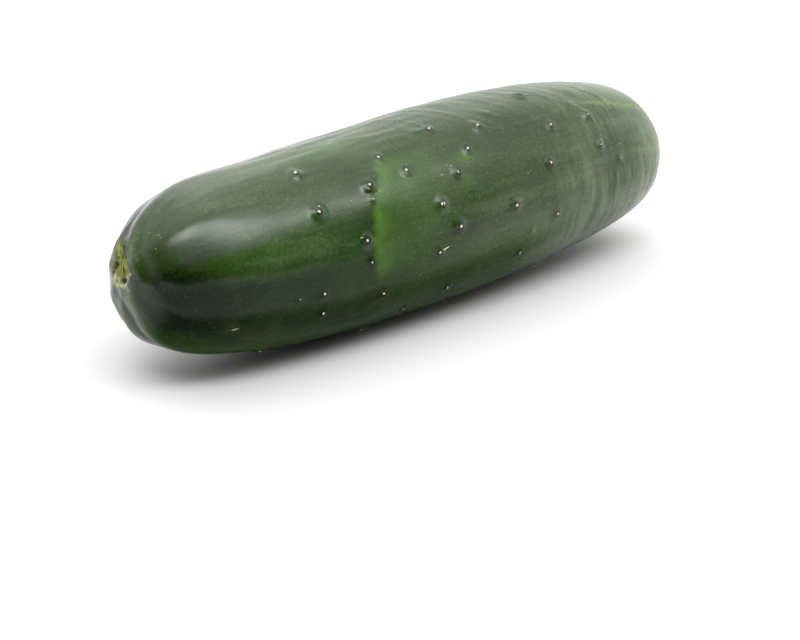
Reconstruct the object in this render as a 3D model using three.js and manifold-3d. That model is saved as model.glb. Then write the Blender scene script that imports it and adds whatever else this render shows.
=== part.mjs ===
// A slicing cucumber, as picked, lying on its side on a small flat spot.
// Millimetres and degrees. +X runs from the stem end to the blossom end and +Z is up.
// The origin is under the middle of the fruit, on the surface that it rests on.
// Places on the skin are a station, in mm along the fruit from its stem end, and an
// angle round it, from 0 on top through 90 on the -Y side to 180 underneath.

import * as THREE from 'three';
import { mergeVertices } from 'three/addons/utils/BufferGeometryUtils.js';
import Module from 'manifold-3d';

// The whole fruit
const LENGTH = 207;
const DIAMETER = 60;
const AXIS_HEIGHT = 29.4; // less than the belly's radius, which leaves the flat spot

// How the belly narrows to each end, as a share of the radius
const BELLY_AT = 0.1; // -1 is the stem end, 1 the blossom end
const STEM_TAPER = 0.24;
const BLOSSOM_TAPER = 0.3;

// How each end rounds off: a large power keeps the cap short, a large root keeps it blunt
const STEM_CAP = { power: 9.7, root: 2.15 };
const BLOSSOM_CAP = { power: 10.8, root: 3.1 };

// How the middle line leaves a straight one
const SWAY = 1.1; // down in the stem half and up in the blossom half
const BOW = 0.6; // up at both ends
const STEM_RISE = { height: 1, station: 22, spread: 18 };

// The section is a circle with three faint corners, one of them on top
const CORNER_SHARE = 0.015;

// The stem end: its blunt face leans back and the scar sits above the middle line
const FACE_LEAN = { share: 0.155, reach: 14 };
const SCAR_RISE = 7;
// The torn scar is egg-shaped, narrow end up, set off towards the +Y side and leaning that way
const SCAR = { across: 2.4, up: 6.8, halfWidth: 4.3, halfHeight: 5.6, narrowing: 0.3, lean: 0.12 };
const SCAR_DEPTH = 1.3;
const SCAR_RAGGED = 0.12; // how much its torn edge wanders, as a share
const BLOSSOM_SCAR = { radius: 3.2, depth: 0.7 };

// Ribs that run out from the scar, with furrows between them, and fade along the fruit
const RIB_REACH = 30;
const RIB_HALF_WIDTH = 11;
const FURROW_DEPTH = 0.35;
const RIBS = [
  { angle: -50, height: 1.4 },
  { angle: -10, height: 1.4 },
  { angle: 32, height: 0.5 },
  { angle: 68, height: 0.5 },
  { angle: 105, height: 0.8 },
  { angle: 148, height: 1.4 },
  { angle: 192, height: 1.4 },
  { angle: 235, height: 1.4 },
  { angle: 275, height: 1.4 },
];

// Warts: a low mound with a worn spine's stub on top
const WART_SIZES = {
  large: { radius: 3.5, height: 0.8 },
  middling: { radius: 3, height: 0.5 },
  small: { radius: 2.2, height: 0.35 },
};
const STUB = { radius: 0.5, height: 0.3 };
const WART_ROOT = 1.2; // how far a wart's root goes into the flesh
const WART_SIDES = 6;
const FRONT_WARTS = [
  // station, angle, size
  [51.5, 21.5, 'large'],
  [51, 50, 'large'],
  [79, 28.5, 'middling'],
  [70.5, 43.5, 'large'],
  [70, 52, 'small'],
  [63.5, 73.5, 'middling'],
  [64, 86.5, 'small'],
  [47.5, 98, 'middling'],
  [48, 111.5, 'middling'],
  [69, 108.5, 'middling'],
  [39.5, 98.5, 'small'],
  [85, 41.5, 'middling'],
  [102, 20, 'middling'],
  [118, 28.5, 'large'],
  [109.5, 40.5, 'middling'],
  [102, 52, 'middling'],
  [92.5, 66.5, 'large'],
  [120.5, 81, 'large'],
  [139, 95.5, 'middling'],
  [97.5, 82, 'large'],
  [89, 93, 'middling'],
  [145.5, 40.5, 'middling'],
  [138.5, 63.5, 'middling'],
  [163.5, 39.5, 'large'],
  [163.5, 61.5, 'middling'],
  [172, 74.5, 'small'],
  [128, 100, 'small'],
  [124, 113, 'middling'],
  [95.5, 120.5, 'middling'],
  [81, 130, 'small'],
  [144.5, 11.5, 'large'],
  [125.5, 20.5, 'small'],
  [177, 29.5, 'small'],
];
// Round the back and underneath the warts stand in rows
const BACK_ROWS = { first: 150, last: 324, count: 10 };
const ROW_START = 40;
const ROW_END = 176;
const ROW_STEP = 33;
const STATION_SCATTER = 6;
const ANGLE_SCATTER = 5;
const SEED = 2024;
const CLEARANCE = 0.2; // the least height of a wart's tip above the surface underneath

// Mesh
const SIDES = 48;
const STEM_CAP_SHARES = [0.1, 0.18, 0.22, 0.26, 0.31, 0.38, 0.45, 0.53];
const BLOSSOM_CAP_SHARES = [0.65, 0.54, 0.42, 0.3, 0.19, 0.12, 0.06];
const MIDDLE_RINGS = 31;
const MIDDLE_END = 0.957;
const MIDDLE_SPREAD = THREE.MathUtils.degToRad(68);

const radians = THREE.MathUtils.degToRad;
const bell = (distance, spread) => Math.exp(-((distance / spread) ** 2));

// The difference between two angles, from -180 to 180
function turn(from, to) {
  return ((((to - from + 180) % 360) + 360) % 360) - 180;
}

// How much of the belly's radius is left at a place q along the fruit, -1 to 1
function capShare(q) {
  const { power, root } = q < 0 ? STEM_CAP : BLOSSOM_CAP;
  return Math.max(0, 1 - Math.abs(q) ** power) ** (1 / root);
}

// The place along the fruit where a cap has narrowed to a share
function placeOfShare(share, cap) {
  return (1 - share ** cap.root) ** (1 / cap.power);
}

function bellyRadius(q) {
  const [taper, end] = q < BELLY_AT ? [STEM_TAPER, -1] : [BLOSSOM_TAPER, 1];
  return (DIAMETER / 2) * (1 - taper * ((q - BELLY_AT) / (end - BELLY_AT)) ** 2);
}

function ribHeight(station, angle) {
  const relief = RIBS.reduce(
    (sum, rib) => sum + rib.height * bell(turn(rib.angle, angle), RIB_HALF_WIDTH),
    -FURROW_DEPTH,
  );
  return relief * bell(station, RIB_REACH);
}

// How far out of the stem scar's middle a point of the end face is, as a share of the way
// to its torn edge
function scarShare(across, up) {
  const high = (up - SCAR.up) / SCAR.halfHeight;
  const middle = SCAR.across + SCAR.lean * (up - SCAR.up);
  const wide = (across - middle) / (SCAR.halfWidth * (1 - SCAR.narrowing * high));
  const a = Math.atan2(wide, high);
  const wander = 0.6 * Math.sin(3 * a) + 0.4 * Math.sin(7 * a + 1);
  return Math.hypot(wide, high) / (1 + SCAR_RAGGED * wander);
}

// A hollow with a flat middle and a steep edge; the distance is a share of its radius
function hollow(share, depth) {
  return share < 1 ? depth * (1 - share ** 3) : 0;
}

// The skin without its warts
function skin(q, angle) {
  const station = ((q + 1) * LENGTH) / 2;
  const share = capShare(q);
  const corners = 1 + CORNER_SHARE * Math.cos(3 * radians(angle));
  const radius = bellyRadius(q) * share * corners + ribHeight(station, angle) * share;
  const { height, spread } = STEM_RISE;
  const rise = height * bell(station - STEM_RISE.station, spread);
  const scarRise = q < 0 ? SCAR_RISE * (1 - share) ** 2 : 0;
  const lift = SWAY * Math.sin(Math.PI * q) + BOW * (q * q - 1 / 3) + rise + scarRise;
  const up = radius * Math.cos(radians(angle));
  const lean = FACE_LEAN.share * up * bell(station, FACE_LEAN.reach);
  const across = -radius * Math.sin(radians(angle));
  const scar = q < 0
    ? hollow(scarShare(across, lift + up), SCAR_DEPTH)
    : -hollow(radius / BLOSSOM_SCAR.radius, BLOSSOM_SCAR.depth);
  return new THREE.Vector3((q * LENGTH) / 2 + lean + scar, across, AXIS_HEIGHT + lift + up);
}

const placeOf = (station) => (2 * station) / LENGTH - 1;

// The skin's outward direction, from two short steps along it
function outward(q, angle) {
  const along = skin(q + 0.001, angle).sub(skin(q - 0.001, angle));
  const round = skin(q, angle + 0.1).sub(skin(q, angle - 0.1));
  return along.cross(round).negate().normalize();
}

function ringPlaces() {
  const stemCap = STEM_CAP_SHARES.map((share) => -placeOfShare(share, STEM_CAP));
  const blossomCap = BLOSSOM_CAP_SHARES.map((share) => placeOfShare(share, BLOSSOM_CAP));
  const middle = Array.from({ length: MIDDLE_RINGS }, (_, i) => {
    const swing = MIDDLE_SPREAD * ((2 * i) / (MIDDLE_RINGS - 1) - 1);
    return (MIDDLE_END * Math.sin(swing)) / Math.sin(MIDDLE_SPREAD);
  });
  return [...stemCap, ...middle, ...blossomCap];
}

// Rings of the skin, closed by a fan at each end
function bodyGeometry() {
  const rings = ringPlaces();
  const points = [skin(-1, 0)];
  for (const q of rings) {
    for (let side = 0; side < SIDES; side++) points.push(skin(q, (360 * side) / SIDES));
  }
  points.push(skin(1, 0));
  const last = points.length - 1;
  const index = [];
  for (let side = 0; side < SIDES; side++) {
    const next = (side + 1) % SIDES;
    index.push(0, 1 + next, 1 + side);
    for (let ring = 0; ring < rings.length - 1; ring++) {
      const here = 1 + ring * SIDES;
      const beyond = here + SIDES;
      index.push(here + side, beyond + next, beyond + side);
      index.push(here + side, here + next, beyond + next);
    }
    index.push(last, last - SIDES + side, last - SIDES + next);
  }
  const geometry = new THREE.BufferGeometry().setFromPoints(points);
  geometry.setIndex(index);
  return geometry;
}

function wartGeometry(station, angle, size) {
  const { radius, height } = WART_SIZES[size];
  const profile = [
    [0, -WART_ROOT],
    [0.7 * radius, -WART_ROOT],
    [radius, -0.15],
    [0.5 * radius, 0.5 * height],
    [STUB.radius, height],
    [0, height + STUB.height],
  ];
  const points = profile.map(([r, h]) => new THREE.Vector2(r, h));
  const geometry = new THREE.LatheGeometry(points, WART_SIDES);
  const q = placeOf(station);
  const aim = new THREE.Quaternion().setFromUnitVectors(new THREE.Vector3(0, 1, 0), outward(q, angle));
  geometry.applyQuaternion(aim);
  return geometry.translate(...skin(q, angle));
}

// A repeatable draw from -1 to 1
function scatterFrom(seed) {
  let state = seed;
  return () => {
    state = (state * 16807) % 2147483647;
    return (2 * state) / 2147483647 - 1;
  };
}

function backWarts() {
  const draw = scatterFrom(SEED);
  const sizes = Object.keys(WART_SIZES);
  const warts = [];
  const gap = (BACK_ROWS.last - BACK_ROWS.first) / (BACK_ROWS.count - 1);
  for (let row = 0; row < BACK_ROWS.count; row++) {
    const start = ROW_START + (row % 2) * (ROW_STEP / 2);
    for (let station = start; station <= ROW_END; station += ROW_STEP) {
      const place = station + STATION_SCATTER * draw();
      const angle = BACK_ROWS.first + row * gap + ANGLE_SCATTER * draw();
      warts.push([place, angle, sizes[Math.floor(1.5 * (draw() + 1))]]);
    }
  }
  return warts.filter(standsClear);
}

// A wart that the fruit would stand on is pressed flat, so it is left out
function standsClear([station, angle, size]) {
  const q = placeOf(station);
  const reach = WART_SIZES[size].height + STUB.height;
  return skin(q, angle).z + reach * outward(q, angle).z > CLEARANCE;
}

const wasm = await Module();
wasm.setup();

// A closed geometry as a solid
function solidOf(geometry) {
  const bare = new THREE.BufferGeometry();
  bare.setAttribute('position', geometry.getAttribute('position').clone());
  bare.setIndex(geometry.getIndex().clone());
  const merged = mergeVertices(bare, 1e-4);
  const corners = merged.getIndex().array;
  const faces = [];
  for (let i = 0; i < corners.length; i += 3) {
    const [a, b, c] = corners.subarray(i, i + 3);
    if (a !== b && b !== c && c !== a) faces.push(a, b, c);
  }
  const vertProperties = merged.getAttribute('position').array;
  const triVerts = new Uint32Array(faces);
  return new wasm.Manifold(new wasm.Mesh({ numProp: 3, vertProperties, triVerts }));
}

function geometryOf(solid) {
  const mesh = solid.getMesh();
  const geometry = new THREE.BufferGeometry();
  geometry.setAttribute('position', new THREE.BufferAttribute(mesh.vertProperties, 3));
  geometry.setIndex(new THREE.BufferAttribute(mesh.triVerts, 1));
  geometry.computeVertexNormals();
  return geometry;
}

// Everything lower than the surface that the fruit rests on
function belowSurface() {
  const depth = 10;
  return new THREE.BoxGeometry(2 * LENGTH, 2 * DIAMETER, depth).translate(0, 0, -depth / 2);
}

function fruitGeometry() {
  const warts = [...FRONT_WARTS, ...backWarts()].map((wart) => solidOf(wartGeometry(...wart)));
  const grown = wasm.Manifold.union([solidOf(bodyGeometry()), ...warts]);
  return geometryOf(grown.subtract(solidOf(belowSurface())));
}

const greenSkin = new THREE.MeshStandardMaterial({
  color: '#3b522c',
  roughness: 0.42,
  metalness: 0,
});

const fruit = new THREE.Mesh(fruitGeometry(), greenSkin);
fruit.name = 'cucumber';

const group = new THREE.Group();
group.add(fruit);

export default group;
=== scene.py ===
"""A slicing cucumber's finished looks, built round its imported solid.

Laid out as an add-on and run as a script. Sizes in the code are millimetres and
degrees. A place on the skin is a station, in mm from the stem end, and an angle round
the fruit, from 0 on top through 90 on the -Y side to 180 underneath.
"""

import bpy
import numpy as np
from mathutils import Matrix, Vector, noise
from mathutils.bvhtree import BVHTree


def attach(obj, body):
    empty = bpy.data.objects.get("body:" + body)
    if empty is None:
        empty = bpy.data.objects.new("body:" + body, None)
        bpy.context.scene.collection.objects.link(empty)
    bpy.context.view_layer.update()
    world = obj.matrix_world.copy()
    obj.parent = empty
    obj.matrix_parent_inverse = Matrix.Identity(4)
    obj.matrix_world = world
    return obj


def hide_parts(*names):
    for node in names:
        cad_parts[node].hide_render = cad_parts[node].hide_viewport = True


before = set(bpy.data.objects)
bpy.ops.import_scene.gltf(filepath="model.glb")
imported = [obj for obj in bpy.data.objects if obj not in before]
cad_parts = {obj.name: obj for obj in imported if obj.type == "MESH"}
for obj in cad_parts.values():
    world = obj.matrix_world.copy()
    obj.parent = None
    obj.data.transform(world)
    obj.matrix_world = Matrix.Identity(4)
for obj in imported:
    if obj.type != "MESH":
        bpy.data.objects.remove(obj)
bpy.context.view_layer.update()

bl_info = {
    "name": "Slicing cucumber",
    "version": (1, 0, 0),
    "blender": (4, 5, 0),
    "location": "3D View > Sidebar > Cucumber",
    "description": "Builds a waxy, warted slicing cucumber on a pale studio floor",
    "category": "Add Mesh",
}

MM = 0.001
NODE = "cucumber"
BODY = "root"

# The skin's formula, as the solid has it
BELLY_AT = 0.1  # from -1 at the stem end to 1 at the blossom end
STEM_TAPER = 0.24
BLOSSOM_TAPER = 0.3
STEM_CAP = (9.7, 2.15)  # the two powers of each blunt end
BLOSSOM_CAP = (10.8, 3.1)
SWAY = 1.1
BOW = 0.6
STEM_RISE = (22, 18, 1)  # station, spread, height
CORNER_SHARE = 0.015
LEAN_SHARE = 0.155
LEAN_REACH = 14
SCAR_RISE = 7
SCAR_ACROSS = 2.4
SCAR_UP = 6.8
SCAR_HALF_WIDTH = 4.3
SCAR_HALF_HEIGHT = 5.6
SCAR_NARROWING = 0.3
SCAR_LEAN = 0.12
SCAR_DEPTH = 1.3
SCAR_RAGGED = 0.12
BLOSSOM_SCAR_RADIUS = 3.2
BLOSSOM_SCAR_DEPTH = 0.7
BLOSSOM_SCAR_FADES = (0.7, 1.1)  # shares of its radius
RIB_REACH = 30
RIB_HALF_WIDTH = 11
FURROW_DEPTH = 0.35
RIBS = [
    # angle, height
    (-50, 1.4),
    (-10, 1.4),
    (32, 0.5),
    (68, 0.5),
    (105, 0.8),
    (148, 1.4),
    (192, 1.4),
    (235, 1.4),
    (275, 1.4),
]

# Warts, as the solid has them: a mound's radius and height
WART_SIZES = {"large": (3.5, 0.8), "middling": (3.0, 0.5), "small": (2.2, 0.35)}
STUB_HEIGHT = 0.3
FRONT_WARTS = [
    # station, angle, size, and the stub's kind where it isn't round
    (51.5, 21.5, "large"),
    (51, 50, "large"),
    (79, 28.5, "middling"),
    (70.5, 43.5, "large"),
    (70, 52, "small", "worn"),
    (63.5, 73.5, "middling"),
    (64, 86.5, "small"),
    (47.5, 98, "middling"),
    (48, 111.5, "middling"),
    (69, 108.5, "middling"),
    (39.5, 98.5, "small", "worn"),
    (85, 41.5, "middling"),
    (102, 20, "middling"),
    (118, 28.5, "large"),
    (109.5, 40.5, "middling"),
    (102, 52, "middling", "sliver"),
    (92.5, 66.5, "large", "double"),
    (120.5, 81, "large"),
    (139, 95.5, "middling"),
    (97.5, 82, "large"),
    (89, 93, "middling"),
    (145.5, 40.5, "middling"),
    (138.5, 63.5, "middling"),
    (163.5, 39.5, "large", "worn"),
    (163.5, 61.5, "middling", "worn"),
    (172, 74.5, "small", "worn"),
    (128, 100, "small", "worn"),
    (124, 113, "middling", "sliver"),
    (95.5, 120.5, "middling", "sliver"),
    (81, 130, "small"),
    (144.5, 11.5, "large", "bare"),
    (125.5, 20.5, "small", "bare"),
    (177, 29.5, "small", "worn"),
]
# Each kind of stub: its parts' place along the fruit, length and width, as shares of the width
# of a large wart's stub
STUB_KINDS = {
    "round": ((0, 1, 1),),
    "double": ((-0.5, 0.85, 0.9), (0.45, 0.9, 0.85)),
    "sliver": ((0, 0.5, 1.35),),
    "worn": ((0, 0.75, 0.6),),
    "bare": (),
}
UNPITTED = ("worn", "bare")
# Small pale specks and scratches: station, angle, length and width in mm, turn, age (0 to 1)
SPECKS = [
    (51.9, 46.8, 0.55, 0.55, 0, 0.3),
    (86.5, 37.8, 0.5, 0.45, 0, 0.9),
    (73.1, 48.2, 0.5, 0.45, 0, 0.7),
    (100.8, 47.2, 0.9, 0.45, 20, 0.85),
    (99.6, 46.4, 0.5, 0.35, 60, 0.9),
    (96.2, 50.3, 0.45, 0.4, 0, 0.7),
    (63, 48.8, 0.4, 0.35, 0, 0.7),
    (173.7, 64.2, 0.6, 0.5, 0, 0.8),
    (128.2, 65.2, 0.5, 0.35, 0, 0.95),
    (129.3, 64.5, 0.4, 0.3, 0, 0.95),
    (96.4, 5, 0.6, 0.4, 0, 0.8),
    (137, -15.2, 0.7, 0.5, 0, 0.6),
    (178.6, 26.5, 0.8, 0.5, 40, 0.8),
    (22, 42.2, 0.6, 0.5, 0, 0.95),
    (22.5, 44.5, 0.55, 0.4, 30, 1),
    (26, 45.2, 0.6, 0.5, 0, 0.9),
    (25.5, 47.8, 0.65, 0.5, 0, 0.9),
    (25, 52, 0.5, 0.45, 0, 1),
    (26.5, 53, 0.5, 0.4, 0, 1),
    (27.5, 55.5, 0.45, 0.4, 0, 1),
    (5, 11.5, 0.5, 0.4, 0, 1),
    (6.1, 22.5, 0.5, 0.4, 0, 1),
    (5.9, 26.3, 0.42, 0.36, 0, 1),
    (4.1, 34, 0.45, 0.4, 0, 1),
    (62.1, 71.2, 1.5, 0.4, 10, 0.9),
    (90.9, 92.4, 4.4, 0.45, -15, 0.1),
    (20.9, 116, 2.2, 0.6, -20, 0.8),
    (172.6, 14.6, 2.8, 0.5, 57, 0.85),
    (70.4, 4, 2.2, 1.2, 20, 1),
    (105, -8.5, 1, 0.6, 0, 0.9),
]
SPECK_HEIGHT = 0.3
SPECK_SINK = 0.05  # how far specks and stubs are sunk, as shares of their height
STUB_SINK = 0.1
STUB_STRETCH = 0.2  # how far a stub's shape and age vary
STUB_AGE = 0.15
STUB_DOME = 0.7  # how much of a stub's upper half is left
STUB_FACES = {"segments": 14, "ring_count": 10}
SEEK_FROM = 5  # mm off the skin, where the line that finds a stub's seat starts

# Rows of warts round the back: their first and last angle and count, and the stations of each
BACK_ROWS = (150, 324, 10)
ROW_START = 40
ROW_END = 176
ROW_STEP = 33
STATION_SCATTER = 6
ANGLE_SCATTER = 5
SEED = 2024
DRAW_FACTOR = 16807
DRAW_LIMIT = 2**31 - 1
CLEARANCE = 0.2
SHORT_STEPS = (0.001, 0.1)  # along the fruit, of its half-length, and round it, in degrees

# The fine mesh, which is split once within the first distance of a wart and again within the
# second
SIDES = 228
RINGS = 296
STEM_CROWDING = 1.6  # extra rings by the torn stem
STEM_CROWDED = 9
PLACE_STEPS = 4001
SPLIT_ZONES = (3.0, 1.6)

# Low relief that the solid leaves out. A stretch of stations is one over which it grows or fades
MM_PER_DEGREE = 0.5  # round the fruit
PIT_RADIUS = 0.85
PIT_HALF_WIDTH = 0.4
HALO_HALF_WIDTH = 0.55
FAINT_HALO = (0, 2, 0.45)  # middle, half-width, amount
RIPPLES_GROW = (16, 60)
RIPPLE_LEAST = 0.15
WRINKLES_GROW = (112, 165)
DEEP_WRINKLES = (98, 26)  # angle, half-width
WRINKLE_LEAST = 0.5
WRINKLE_MORE = 1.1
OBLIQUE_STRETCH = ((84, 104), (165, 190))
OBLIQUE_ROUND = (2, 26)
STREAK_STRETCH = ((4, 16), (95, 115))
STREAK_ROUND = (0, 24)
STREAKS_GROW = (38, 58)
STREAK_LEAST = 0.4
# Layers of noise: height, size in mm along three axes, seed
RIPPLES = ((1, (24, 9, 9), 2), (0.5, (9, 6, 6), 7))
WRINKLES = ((1, (2.6, 18, 18), 4), (0.5, (1.5, 9, 9), 6))
WRINKLE_BENDS = ((3, (25, 12, 12), 9),)
OBLIQUES = ((0.27, (4.2, 24, 1), 31),)
STREAKS = ((0.32, (20, 2.8, 2.8), 17), (0.16, (9, 2, 2), 19))
PIT_WAVES = ((0.9, (1.3, 1.3, 1.3), 21),)
FIBRES = ((0.34, (3, 0.45, 2.2), 11), (0.3, (1, 0.7, 1), 5))
LIP_WAVES = ((0.3, (1.2, 0.8, 1.2), 3),)
EDGE_WAVES = ((0.07, (0.8, 0.6, 0.8), 13),)
HOLE_WAVES = ((0.5, (0.6, 0.4, 0.8), 3),)
PIT_SHARE = 0.6  # of a pit's depth, before its waves
PIT_LIMITS = (0.1, 1.2)
HOLE_LIMITS = (0.6, 1.5)
CREASE_HEIGHT = 0.18
CREASE_HALF_WIDTH = 0.75
CREASE_SWAY = 0.8  # degrees
CREASE_WAVE = 2.3
CREASES = [
    # stations and angles of a line's points
    ((74, 6), (84, 9.5), (93, 14), (101, 19)),
    ((92, -6), (97, 1), (100, 10), (102, 19)),
    ((105, -9), (109, -2), (114, 13), (118, 28), (123, 34), (132, 36), (145, 34)),
    ((136, -4), (141, 5), (144.5, 11), (149, 13)),
    ((159, 24), (162, 32), (164.5, 41), (166, 50), (164, 60)),
    ((170, 6), (174, 18), (178, 27), (180, 36)),
]
# Dark slits and holes in the scar: a line's points (across, up), half-width, depth
SCAR_SLITS = [
    (((2.5, 12), (2.2, 10.6), (2, 9)), 0.5, 1),
    (((6, 6.1), (6.2, 4.9), (6.5, 2.8)), 0.65, 0.85),
    (((1.4, 2.6), (-0.2, 3)), 0.65, 1.3),
    (((2.5, 5.6), (2.1, 4.9)), 0.5, 0.9),
    (((-0.6, 10), (-1.4, 8.7)), 0.4, 0.9),
    (((-1.7, 6.6), (-1.5, 5.7)), 0.45, 0.9),
    (((5.6, 8.2), (5.5, 7.6)), 0.4, 0.5),
    (((3.8, 6.4), (3.8, 5.2)), 0.35, 0.5),
]
# The scar's upper edge: a torn prong, and a tongue of skin beside it
SCAR_PRONG = (((7.8, 11), (6.1, 9.9), (4.8, 8.6)), 0.75)
SCAR_TONGUE = (((5.4, 11.9), (4.3, 10.9), (3.5, 10)), 0.45)
# Spots on the scar: middle across and up, half-width, half-height
SCAR_BRIGHT = (0.2, 7.3, 1.6, 1.4)
SCAR_PALE = [
    (-1.2, 4, 0.8, 0.6),
    (4.3, 2.4, 1.4, 0.7),
    (-3.3, 6.1, 0.4, 0.35),
    (-2.7, 1.5, 0.4, 0.35),
]
SCAR_PALENESS = 0.75
LIP_HALF_WIDTH = 0.1
LIP_FADES = (3, 9.5)  # mm up
LIP_HEIGHT = 0.15
TORN_FADES = (0.98, 1.1)  # shares of the way to the scar's edge
PRONG_END = 2.2
PRONG_STRENGTH = 1.6
TONGUE_STRENGTH = 1.5
SCAR_ZONE = 12  # the scar is looked for no farther along than this
FAR_FROM_SCAR = 9  # the largest share of the way to its edge
TORN_SINK = 0.2
HOLE_SINK = 0.4
# Folds by the scar, ridges or, below 0, furrows: a line's points (across, up), half-width, height
FOLDS = [
    (((12, 11.4), (12.8, 12.8), (13.4, 14)), 2.4, -0.55),
    (((8.4, 13.9), (5.1, 14.1), (1.9, 13.5)), 1.3, -0.25),
    (((2.8, 13.8), (4.6, 16.4), (4.6, 19), (3.4, 22.2)), 1.9, 0.17),
    (((7.6, 15.4), (8.4, 18), (8.2, 21)), 3, -0.12),
    (((15.6, 19.4), (15.2, 22.5)), 3.2, 0.5),
    (((10, 5.5), (10, 9), (9, 11.8)), 2.4, 0.5),
    (((4.1, -1), (1.1, -2.6), (-0.3, -5.4), (-2, -8), (-2.7, -11.1), (-3.9, -13.5)), 1.8, -0.3),
    (((-4.4, 0.6), (-5.7, -2.4), (-6.9, -5), (-8, -7.5), (-9.3, -9.9), (-10.6, -12)), 2.1, 0.22),
    (((-7.6, 1.8), (-10, -1), (-11.2, -3.8)), 2.2, -0.2),
    (((7.9, -5.8), (6.5, -9)), 2.8, 0.4),
]
FOLD_REACH = (10, 24)
FURROW_PAINTED_SHADE = 0.45  # painted shade: how much deeper the green is made in the furrows
# The smooth collar round the scar, the dip round that, and a painted sheen that makes the collar
# paler: middle and half-width, as shares of the way to the scar's edge, and height or amount
COLLAR = (1.65, 0.4, 0.4)
MOAT = (2.6, 0.5, -0.2)
COLLAR_PAINTED_SHEEN = (1.5, 0.6, 0.3)
COLLAR_FADES = (0, 6)  # mm across
COLLAR_SHEEN_FADES = (-1, 5)
SKIN_BY_SCAR = (1.2, 3)  # where the ripples and the folds start, in the same shares
FOLDS_BY_SCAR = (1, 1.3)


def linear(hex_colour):
    """An sRGB hex colour as linear red, green, blue and alpha."""
    channels = [int(hex_colour[i : i + 2], 16) / 255 for i in (1, 3, 5)]
    return [c / 12.92 if c < 0.04045 else ((c + 0.055) / 1.055) ** 2.4 for c in channels] + [1]


def colour(name, description, hex_colour):
    return bpy.props.FloatVectorProperty(
        name=name,
        description=description,
        default=linear(hex_colour),
        size=4,
        min=0,
        max=1,
        subtype="COLOR",
    )


def length(name, description, millimetres):
    return bpy.props.FloatProperty(
        name=name, description=description, default=millimetres * MM, min=0, unit="LENGTH"
    )


class CucumberShape(bpy.types.PropertyGroup):
    """The fruit's driving sizes."""

    length: length("Length", "Stem end to blossom end", 207)
    diameter: length("Diameter", "Thickness at the belly", 60)
    axis_height: length("Axis height", "The middle line above the surface", 29.4)
    ripple: length("Ripple", "Height of the skin's slow waves", 0.2)
    wrinkle: length("Wrinkle", "Height of the cross wrinkles by the blossom end", 0.12)
    pit: length("Pit", "Depth of the ring sunk round each stub", 0.17)
    stub: length("Stub", "Width of a large wart's worn spine stub", 0.88)


class CucumberColours(bpy.types.PropertyGroup):
    """The fruit's colours."""

    deep: colour("Deep green", "The skin's darkest green", "#071503")
    mid: colour("Mid green", "The skin's lighter green", "#20390c")
    patch: colour("Patch", "The yellower patch on the flank", "#3f611c")
    pale: colour("Pale green", "The palest of the skin", "#4f6141")
    brown: colour("Brown green", "Browner patches of the skin", "#323c1e")
    pit: colour("Pit", "The dark ring round each stub", "#080d06")
    stripe: colour("Stripe", "Pale stripes by the blossom end", "#687c45")
    fleck: colour("Fleck", "Pale flecks in the skin", "#6b8352")
    stub: colour("Stub", "The worn spines' dry cream stubs", "#f1ecda")
    torn: colour("Torn flesh", "The torn stem's yellow green", "#696f2c")
    torn_dark: colour("Torn dark", "The torn flesh between the fibres", "#3a3f17")
    torn_light: colour("Torn light", "The torn flesh's paler fibres", "#8c9150")
    torn_bright: colour("Torn bright", "The fresh flesh in the scar's middle", "#8f9a35")
    torn_edge: colour("Torn edge", "The torn stem's dry cream edge", "#b3b489")
    torn_hole: colour("Torn hole", "The torn stem's dark brown holes", "#24240e")
    healed: colour("Healed speck", "Specks that the skin has grown over", "#6c7a58")
    cork: colour("Cork", "Healed scratches in the skin", "#b3ab86")


class CucumberStudio(bpy.types.PropertyGroup):
    """The floor, the light and the camera."""

    floor: colour("Floor", "The pale floor", "#cbcbcb")
    camera_lens: bpy.props.FloatProperty(
        name="Lens",
        description="Focal length on a 36 mm sensor",
        default=76.5,
        subtype="DISTANCE_CAMERA",
    )


def bell(distance, spread):
    """A smooth hump: 1 at no distance and about a third at the spread."""
    return np.exp(-((distance / spread) ** 2))


def hump(value, middle, half_width, height):
    """A smooth hump of a given height round its middle."""
    return height * bell(value - middle, half_width)


def turn(start, end):
    """The difference between two angles, from -180 to 180."""
    return (end - start + 180) % 360 - 180


def round_at(angle, at, half_width):
    """1 at one angle round the fruit, fading to both sides."""
    return bell(turn(at, angle), half_width)


def smooth_step(low, high, value):
    """0 up to the low limit and 1 from the high one, rising smoothly between."""
    t = np.clip((value - low) / (high - low), 0, 1)
    return t * t * (3 - 2 * t)


def between(rise, fall, value):
    """1 between two stretches, rising over the first and falling over the second."""
    return smooth_step(*rise, value) * (1 - smooth_step(*fall, value))


def cap_share(q):
    """How much of the belly's radius is left at a place q along the fruit, -1 to 1."""
    stem = np.clip(1 - np.abs(q) ** STEM_CAP[0], 0, 1) ** (1 / STEM_CAP[1])
    blossom = np.clip(1 - np.abs(q) ** BLOSSOM_CAP[0], 0, 1) ** (1 / BLOSSOM_CAP[1])
    return np.where(q < 0, stem, blossom)


def belly_radius(q, shape):
    """The fruit's radius at q before its blunt ends, in mm."""
    towards_stem = STEM_TAPER * ((q - BELLY_AT) / (-1 - BELLY_AT)) ** 2
    towards_blossom = BLOSSOM_TAPER * ((q - BELLY_AT) / (1 - BELLY_AT)) ** 2
    taper = np.where(q < BELLY_AT, towards_stem, towards_blossom)
    return shape.diameter / MM / 2 * (1 - taper)


def rib_height(station, angle):
    """The ribs and the furrows between them, which fade along the fruit."""
    relief = sum(height * round_at(angle, at, RIB_HALF_WIDTH) for at, height in RIBS)
    return (relief - FURROW_DEPTH) * bell(station, RIB_REACH)


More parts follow.
